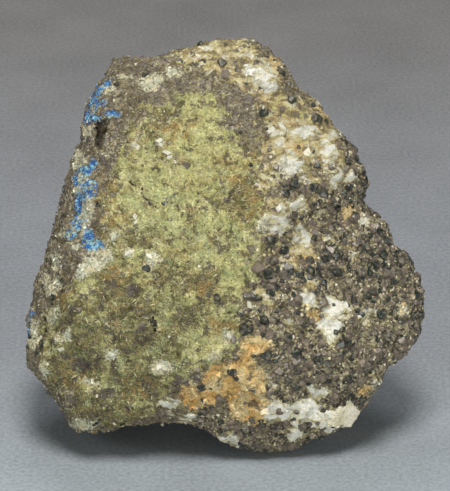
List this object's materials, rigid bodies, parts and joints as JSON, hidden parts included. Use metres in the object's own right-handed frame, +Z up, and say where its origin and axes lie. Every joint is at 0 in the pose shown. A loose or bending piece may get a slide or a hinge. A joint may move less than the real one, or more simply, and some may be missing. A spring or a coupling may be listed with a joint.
{
  "type": "adamite mineral specimen",
  "caption": "Natural mineral specimen: a broken lump of granular ore matrix with an adamite crust, azurite, calcite and dark ore grains grown together, for display.",
  "frame": {"origin": "bottom centre of the specimen's box, on the surface it rests on", "axes": "+X to the right across the crusted face, +Y to the back of the specimen, +Z up"},
  "size_m": [0.1148, 0.0766, 0.1082],
  "materials": {
    "adamite_ore": "rough"
  },
  "bodies": {
    "root": {"rock": "adamite_ore"}
  },
  "joints": []
}
